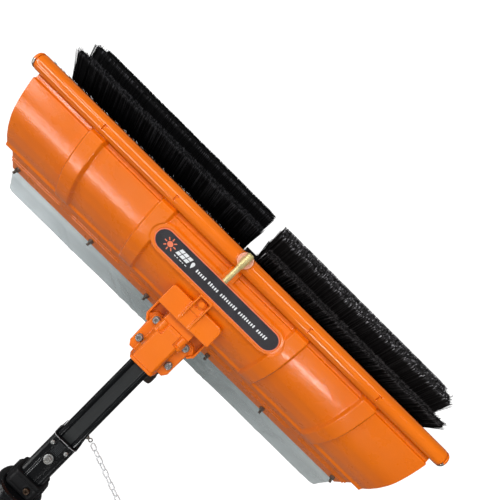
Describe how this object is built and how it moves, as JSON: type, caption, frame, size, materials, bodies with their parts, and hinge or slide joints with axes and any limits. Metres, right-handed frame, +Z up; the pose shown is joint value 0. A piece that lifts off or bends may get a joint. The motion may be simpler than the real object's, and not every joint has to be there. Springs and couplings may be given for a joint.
{
  "type": "rotating cleaning brush head",
  "caption": "Motor-driven bristle roller under a moulded cover with a spray tube and splash apron, clamped to a telescoping pole, for washing flat panels.",
  "frame": {"origin": "centre of the pole coupling's flat rear face, where the head is held", "axes": "+X along the brush roller, to the right seen from above with the brush ahead; +Y forward along the pole to the brush; +Z up, away from the panel being cleaned"},
  "size_m": [0.7798, 0.633, 0.2352],
  "materials": {
    "cover_orange": "gloss",
    "tube_orange": "gloss",
    "housing_orange": "gloss",
    "bright_steel": "polished",
    "dull_steel": "satin",
    "chain_steel": "polished",
    "brass": "satin",
    "seal_rubber": "matte",
    "label": "satin",
    "black_plastic": "satin",
    "bristle": "matte",
    "apron_pvc": "gloss",
    "pole_black": "satin",
    "gloss_black": "gloss"
  },
  "bodies": {
    "pole_socket": {"pole_sleeve": "gloss_black", "sleeve_rivet_1": "bright_steel", "sleeve_rivet_2": "bright_steel", "pin_bush": "bright_steel", "pole_collar": "black_plastic", "collar_screw": "dull_steel", "pole_coupling": "gloss_black"},
    "head": {"cover_shell": "cover_orange", "spray_tube": "tube_orange", "tube_plug_left": "bright_steel", "tube_plug_right": "bright_steel", "inlet_elbow": "brass", "inlet_washer": "seal_rubber", "label_plate": "label", "drive_housing": "housing_orange", "housing_screw": "housing_orange", "drive_case_left": "black_plastic", "drive_case_right": "black_plastic", "bearing_left": "bright_steel", "bearing_right": "bright_steel", "drive_belt": "seal_rubber", "gear_motor": "dull_steel", "pole_bracket": "housing_orange", "clamp_cap": "housing_orange", "clamp_screw_1": "bright_steel", "clamp_screw_2": "bright_steel", "clamp_screw_3": "bright_steel", "clamp_screw_4": "bright_steel", "splash_apron": "apron_pvc", "apron_strip": "bright_steel", "apron_bolt_1": "bright_steel", "apron_bolt_2": "bright_steel", "apron_bolt_3": "bright_steel", "apron_bolt_4": "bright_steel", "apron_bolt_5": "bright_steel", "apron_bolt_6": "bright_steel", "apron_nut_1": "bright_steel", "apron_nut_2": "bright_steel", "apron_nut_3": "bright_steel", "apron_nut_4": "bright_steel", "apron_nut_5": "bright_steel", "apron_nut_6": "bright_steel", "pole_profile": "pole_black", "chain_eyelet": "dull_steel", "power_socket": "black_plastic", "motor_lead": "seal_rubber"},
    "roller": {"roller_shaft": "bright_steel", "driven_pulley": "bright_steel", "brush_core_left": "black_plastic", "brush_core_right": "black_plastic", "bristles_left": "bristle", "bristles_right": "bristle", "shaft_nut_left": "bright_steel", "shaft_nut_right": "bright_steel"},
    "motor_rotor": {"motor_pulley": "bright_steel"},
    "plunger": {"lock_pin": "bright_steel"},
    "chain": {"safety_chain": "chain_steel"}
  },
  "joints": [
    {"name": "pole_extend", "type": "slide", "parent": "pole_socket", "child": "head", "axis": [0, 1, 0], "range_m": [0, 0.06]},
    {"name": "roller_spin", "type": "hinge", "parent": "head", "child": "roller", "pos_m": [0, 0.54, -0.042], "axis": [1, 0, 0], "continuous": true},
    {"name": "motor_spin", "type": "hinge", "parent": "head", "child": "motor_rotor", "pos_m": [0, 0.4385, 0.015], "axis": [1, 0, 0], "continuous": true},
    {"name": "plunger_pull", "type": "slide", "parent": "pole_socket", "child": "plunger", "axis": [0, 0, 1], "range_m": [0, 0.005]},
    {"name": "chain_swing", "type": "hinge", "parent": "head", "child": "chain", "pos_m": [0.0255, 0.196, 0], "axis": [0, 0, 1], "range_deg": [-50, 50]}
  ],
  "couplings": [
    {"joint": "motor_spin", "follows": "roller_spin", "ratio": 2.5556}
  ]
}
